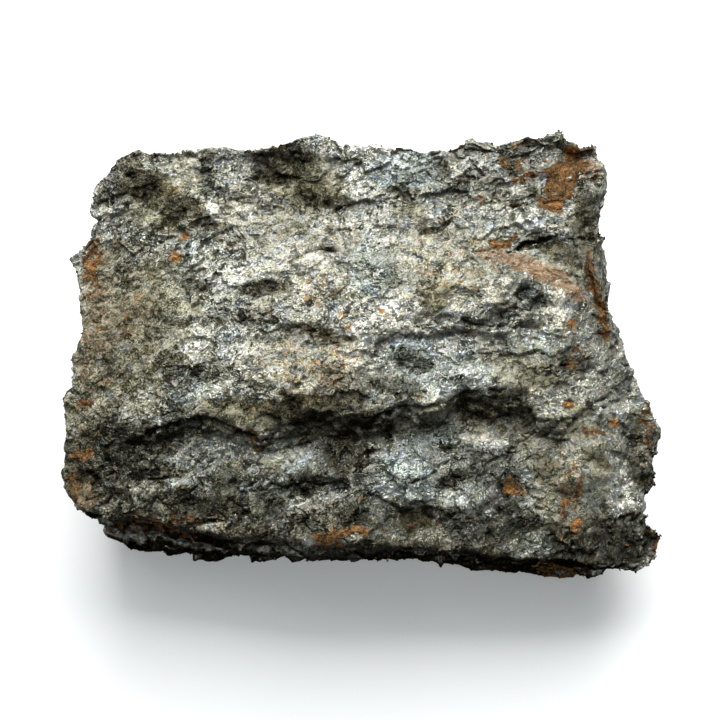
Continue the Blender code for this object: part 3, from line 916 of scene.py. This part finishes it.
# How much each chance and each amount adds to the place on the silver ramp.
CHANCE_SHARES = {"Fine chance": 0.31, "Coarse chance": 0.2, "Block chance": 0.23}
# The lifts for hollows and for the steep front faces are painted shade, the dark lift is part dark ore and
# part painted shade, and the bright lift part fresh ore and part painted highlight.
LIFTS = {"bright": 0.32, "dark": -0.28, "hollow": -0.4, "painted_front_shade": -0.25}
# What the dark parts are multiplied by: the dark patches, part dark ore and part painted shade,
# and the painted shade on the steep front faces.
BROWNS = {"dark": (0.55, 0.50, 0.40, 1), "painted_front_shade": (0.085, 0.074, 0.06, 1)}

tones, takes, gives = new_group(
    "ore colours",
    {"Place": "Vector", "Film": "Float"} | dict.fromkeys(CHANCE_SHARES, "Float"),
    {"Colour": "Color", "Metal": "Float", "Roughness": "Float"},
)
where = takes.outputs["Place"]
fine_chance = takes.outputs["Fine chance"]
coarse_chance = takes.outputs["Coarse chance"]
value = spread(tones, noise_node(tones, where, 0.16, 5.0, 0.6), 0.3, 0.7, 0.0, 0.2)
for name, share in CHANCE_SHARES.items():
    value = math_node(tones, "MULTIPLY_ADD", takes.outputs[name], share, value)
for name, lift in LIFTS.items():
    value = math_node(tones, "MULTIPLY_ADD", amount_of(tones, name), lift, value)
tinted = ramp_node(tones, value, SILVERS)
tinted = mixed(tones, 1.0, tinted, ramp_node(tones, takes.outputs["Film"], FILMS), "MULTIPLY")
for name, tint in TINTS.items():
    share = in_grains(tones, amount_of(tones, name), coarse_chance, 0.6)
    tinted = mixed(tones, share, tinted, mixed(tones, 1.0, tinted, tint, "MULTIPLY"))
for name, brown in BROWNS.items():
    browned = mixed(tones, 1.0, tinted, brown, "MULTIPLY")
    tinted = mixed(tones, amount_of(tones, name), tinted, browned)

clusters = noise_node(tones, where, 0.55, 2.0)
in_clusters = spread(tones, clusters, 0.45, 0.65, 0.0, 0.9)
few = math_node(tones, "MULTIPLY_ADD", amount_of(tones, "fleck"), in_clusters, -0.06)
flecks = in_grains(tones, few, fine_chance, 0.05)
warm = mixed(tones, 1.0, tinted, WARM_FILM, "MULTIPLY")
solid_fleck = spread(tones, coarse_chance, 0.6, 0.8)
fleck_tone = mixed(tones, solid_fleck, warm, FLECK)
coloured = mixed(tones, flecks, tinted, fleck_tone)
ochre = in_grains(tones, amount_of(tones, "ochre"), math_node(tones, "ADD", fine_chance, 0.1), 0.12)
ochre_tone = mixed(tones, coarse_chance, *OCHRES)
coloured = mixed(tones, ochre, coloured, ochre_tone)
patchy = spread(tones, noise_node(tones, where, 0.6, 5.0, 0.65), 0.3, 0.7)
clods = noise_node(tones, where, 0.9, 6.0, 0.7)
speckle = math_node(tones, "MULTIPLY", fine_chance, 0.35)
blotches = math_node(tones, "MULTIPLY_ADD", clods, 0.65, speckle)
rusty = in_grains(tones, amount_of(tones, "rust"), patchy, 0.16)
coloured = mixed(tones, rusty, coloured, ramp_node(tones, blotches, RUSTS))
orange = in_grains(tones, amount_of(tones, "orange"), patchy, 0.2)
coloured = mixed(tones, orange, coloured, ramp_node(tones, blotches, ORANGES))
feed(tones, coloured, gives.inputs["Colour"])
earthy = math_node(tones, "MAXIMUM", rusty, orange)
for share in (ochre, math_node(tones, "MULTIPLY", flecks, solid_fleck)):
    earthy = math_node(tones, "MAXIMUM", earthy, share)
filmed = math_node(tones, "MAXIMUM", amount_of(tones, "olive"), amount_of(tones, "cream"))
dull = math_node(tones, "MAXIMUM", earthy, math_node(tones, "MULTIPLY", filmed, 0.5))
metal = spread(tones, dull, 0.0, 1.0, 0.65, 0.0)
# The front's painted shade is also made metal, so that its near-black colour takes no diffuse light.
feed(tones, math_node(tones, "MAXIMUM", metal, amount_of(tones, "painted_front_shade")), gives.inputs["Metal"])
polish = spread(tones, coarse_chance, 0.0, 1.0, 0.3, 0.5)
feed(tones, math_node(tones, "MULTIPLY_ADD", dull, 0.4, polish), gives.inputs["Roughness"])
print("group:", tones.name, "with", len(tones.nodes), "nodes")

# %% [markdown]
# Two materials of one ore
#
# The skin is the massive ore: fine grains that lean this way and that on coarser ones, with
# a crumpled, foil-like bump. The finest grains are slivers, because arsenopyrite's faces are
# striated, and they lie the same way within a block: its chance turns them. The loose
# crystals are the same ore with cleaner faces, so they lean less.


# %% Materials of the ore
# Sizes in mm: blocks, coarse grains and fine slivers. The joints of the last two are dark.
GRAIN_SIZES = (2.8, 1.0, 0.17)
JOINT_SHARES = (0.4, 0.35)
JOINT_TONE = (0.02, 0.018, 0.014, 1)
# How places are scaled along the ore's grain and along a sliver, and how far they are bent.
STRETCH = (0.88, 1.0, 1.0)
SLIVER = (0.42, 1.0, 0.9)
SWIRL = 2.4


def turned_by(tree, vector, angle):
    inputs = {"Vector": vector, "Angle": angle}
    return add(tree, "ShaderNodeVectorRotate", inputs, rotation_type="Z_AXIS").outputs[0]


def ore_material(name, leans, crumple):
    """A material of the ore: how far grains of each size lean, and its bump's depth in mm."""
    material = bpy.data.materials.new(name)
    material.use_nodes = True
    tree = material.node_tree
    shader = tree.nodes["Principled BSDF"]
    shader.inputs["Specular IOR Level"].default_value = 0.12
    shader.inputs["Specular Tint"].default_value = (0.14, 0.14, 0.13, 1)
    coordinates = add(tree, "ShaderNodeTexCoord")
    in_mm = scaled(tree, coordinates.outputs["Object"], 1 / MM)
    where = vector_node(tree, "MULTIPLY", turned_by(tree, in_mm, -GRAIN_TURN), STRETCH)
    wrinkles = {"Vector": where, "Scale": 1.5, "Detail": 4.0}
    creases = add(tree, "ShaderNodeTexNoise", wrinkles, noise_type="RIDGED_MULTIFRACTAL")
    foil = {"Height": creases.outputs[0], "Strength": 1.0, "Distance": crumple * MM}
    normal = add(tree, "ShaderNodeBump", foil).outputs["Normal"]
    swirl = add(tree, "ShaderNodeTexNoise", {"Vector": where, "Scale": 0.7})
    centred = vector_node(tree, "SUBTRACT", swirl.outputs["Color"], (0.5, 0.5, 0.5))
    bent = vector_node(tree, "ADD", where, scaled(tree, centred, SWIRL))
    grains = []
    for size, lean in zip(GRAIN_SIZES, leans):
        spot = bent
        if size == GRAIN_SIZES[-1]:
            way = math_node(tree, "MULTIPLY", grains[0].outputs["Chance"], math.pi)
            spot = vector_node(tree, "MULTIPLY", turned_by(tree, bent, way), SLIVER)
        inputs = {"Place": spot, "Normal": normal, "Grain size": size, "Lean": lean}
        node = add(tree, "ShaderNodeGroup", inputs, node_tree=grain)
        normal = node.outputs["Normal"]
        grains.append(node)
    blocks, coarse_grains, slivers = grains
    inputs = {
        "Place": where,
        "Film": coarse_grains.outputs["Second chance"],
        "Block chance": blocks.outputs["Chance"],
        "Coarse chance": coarse_grains.outputs["Chance"],
        "Fine chance": slivers.outputs["Chance"],
    }
    colours = add(tree, "ShaderNodeGroup", inputs, node_tree=tones)
    colour = colours.outputs["Colour"]
    for node, share in zip((coarse_grains, slivers), JOINT_SHARES):
        joint = spread(tree, node.outputs["Joint"], 0.0, 1.0, share, 0.0)
        colour = mixed(tree, joint, colour, JOINT_TONE)
    feed(tree, colour, shader.inputs["Base Color"])
    feed(tree, colours.outputs["Metal"], shader.inputs["Metallic"])
    feed(tree, colours.outputs["Roughness"], shader.inputs["Roughness"])
    feed(tree, normal, shader.inputs["Normal"])
    return material


mesh.materials.clear()
mesh.materials.append(ore_material("massive ore", (0.44, 0.5, 0.95), 0.12))
grain_mesh.materials.append(ore_material("fresh crystals", (0.3, 0.3, 0.3), 0.06))
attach(skin, "root")
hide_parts("arsenopyrite_lump")
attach(crystal_grains, "root")
print("materials:", [material.name for material in (*mesh.materials, *grain_mesh.materials)])

# %% [markdown]
# Floor and light
#
# The photograph has a plain white floor and light that comes from above and behind, which
# the level parts of the break throw back to the camera while the faces that look at the
# viewer stay dark. A large area light behind the stone does that. A lower one lights the
# steps, a small one from the upper left adds glints, and a wide, weak one stands for a bright
# ceiling. The floor glows a little, so that it stays nearly white, and the camera sees a grey
# wall where the floor ends.

# %% Stage
FLOOR_HALF = 6.0
FLOOR_GLOW = 0.22
WALL_TONE = (0.25, 0.26, 0.265, 1)
AIR_STRENGTH = 0.06
# Each: name, place in metres, side in metres, power in watts.
LIGHTS = [
    ("window behind", (0.05, 0.50, 0.58), 0.75, 10.1),
    ("lamp above", (-0.25, 0.18, 0.70), 0.3, 0.8),
    ("low window", (0.1, 0.75, 0.16), 0.6, 3.0),
    ("bright ceiling", (0.0, -0.12, 1.1), 1.3, 3.6),
]
floor_corners = [(FLOOR_HALF * x, FLOOR_HALF * y, 0) for x, y in ((-1, -1), (1, -1), (1, 1), (-1, 1))]
floor_mesh = bpy.data.meshes.new("floor")
floor_mesh.from_pydata(floor_corners, [], [(0, 1, 2, 3)])
floor = bpy.data.objects.new("floor", floor_mesh)
scene.collection.objects.link(floor)
paper = bpy.data.materials.new("pale floor")
paper.use_nodes = True
paper_shader = paper.node_tree.nodes["Principled BSDF"]
paper_shader.inputs["Base Color"].default_value = (0.86, 0.87, 0.87, 1)
paper_shader.inputs["Roughness"].default_value = 0.7
paper_shader.inputs["Emission Color"].default_value = (0.95, 1.0, 1.0, 1)
paper_shader.inputs["Emission Strength"].default_value = FLOOR_GLOW
floor_mesh.materials.append(paper)


def area_light(name, place, size, power):
    """A square soft light that looks at the stone."""
    lamp = bpy.data.lights.new(name, "AREA")
    lamp.size = size
    lamp.energy = power
    light = bpy.data.objects.new(name, lamp)
    scene.collection.objects.link(light)
    light.location = place
    light.rotation_mode = "QUATERNION"
    light.rotation_quaternion = (CAMERA_AIM - Vector(place)).to_track_quat("-Z", "Y")


for light in LIGHTS:
    area_light(*light)
world = bpy.data.worlds.new("room")
scene.world = world
world.use_nodes = True
air = world.node_tree
haze = air.nodes["Background"]
haze.inputs["Color"].default_value = (0.9, 0.95, 1.0, 1)
haze.inputs["Strength"].default_value = AIR_STRENGTH
wall = add(air, "ShaderNodeBackground", {"Color": WALL_TONE})
to_camera = add(air, "ShaderNodeLightPath").outputs["Is Camera Ray"]
seen = add(air, "ShaderNodeMixShader", {0: to_camera, 1: haze.outputs[0], 2: wall.outputs[0]})
feed(air, seen.outputs[0], air.nodes["World Output"].inputs["Surface"])
scene.view_settings.view_transform = "Standard"
print("lights:", [name for name, *_ in LIGHTS])
